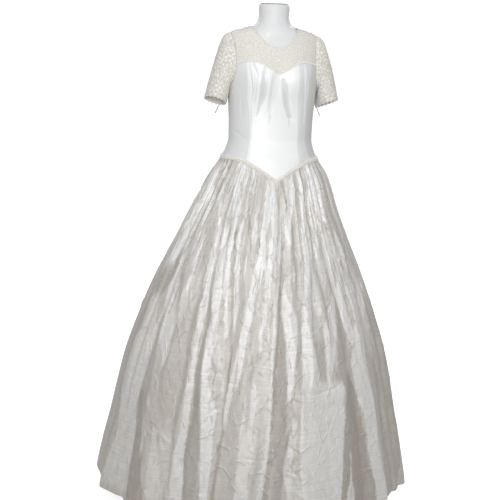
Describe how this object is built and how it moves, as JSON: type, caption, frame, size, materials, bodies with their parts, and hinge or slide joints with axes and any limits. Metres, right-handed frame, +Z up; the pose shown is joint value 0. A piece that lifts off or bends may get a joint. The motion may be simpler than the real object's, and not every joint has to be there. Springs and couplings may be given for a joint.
{
  "type": "wedding dress on dress form",
  "caption": "Floor-length gathered wedding dress with lace yoke, short lace sleeves, sweetheart satin bodice and pointed waist, standing on a limbless dress form.",
  "frame": {"origin": "centre of the underside of the stand's foot, on the floor", "axes": "+Z up, -Y towards the front of the dress, +X towards the wearer's left side"},
  "size_m": [1.0281, 1.1455, 1.6493],
  "materials": {
    "satin": "white satin, soft sheen",
    "taffeta": "ivory taffeta, crisp, shiny along the folds",
    "lace": "ivory floral lace, matt",
    "braid": "cream braid, matt",
    "ribbon": "narrow satin ribbon",
    "form_white": "white gloss",
    "stand_steel": "brushed"
  },
  "bodies": {
    "root": {"bodice_front": "satin", "bodice_side_front_left": "satin", "bodice_side_front_right": "satin", "bodice_back_left": "satin", "bodice_back_right": "satin", "button_01": "satin", "button_02": "satin", "button_03": "satin", "button_04": "satin", "button_05": "satin", "button_06": "satin", "button_07": "satin", "button_08": "satin", "button_09": "satin", "button_10": "satin", "button_11": "satin", "button_12": "satin", "skirt_front": "taffeta", "skirt_side_left": "taffeta", "skirt_side_right": "taffeta", "skirt_back_left": "taffeta", "skirt_back_right": "taffeta", "yoke_front": "lace", "yoke_back_left": "lace", "yoke_back_right": "lace", "sleeve_front_left": "lace", "sleeve_front_right": "lace", "sleeve_back_left": "lace", "sleeve_back_right": "lace", "sleeve_edging_left": "lace", "sleeve_edging_right": "lace", "sweetheart_braid": "braid", "waist_braid_front": "braid", "waist_braid_back_left": "braid", "waist_braid_back_right": "braid", "sleeve_ribbon_left": "ribbon", "sleeve_ribbon_right": "ribbon", "form_torso": "form_white", "form_neck_cap": "form_white", "stand_pole": "stand_steel", "stand_foot": "stand_steel"}
  },
  "joints": []
}
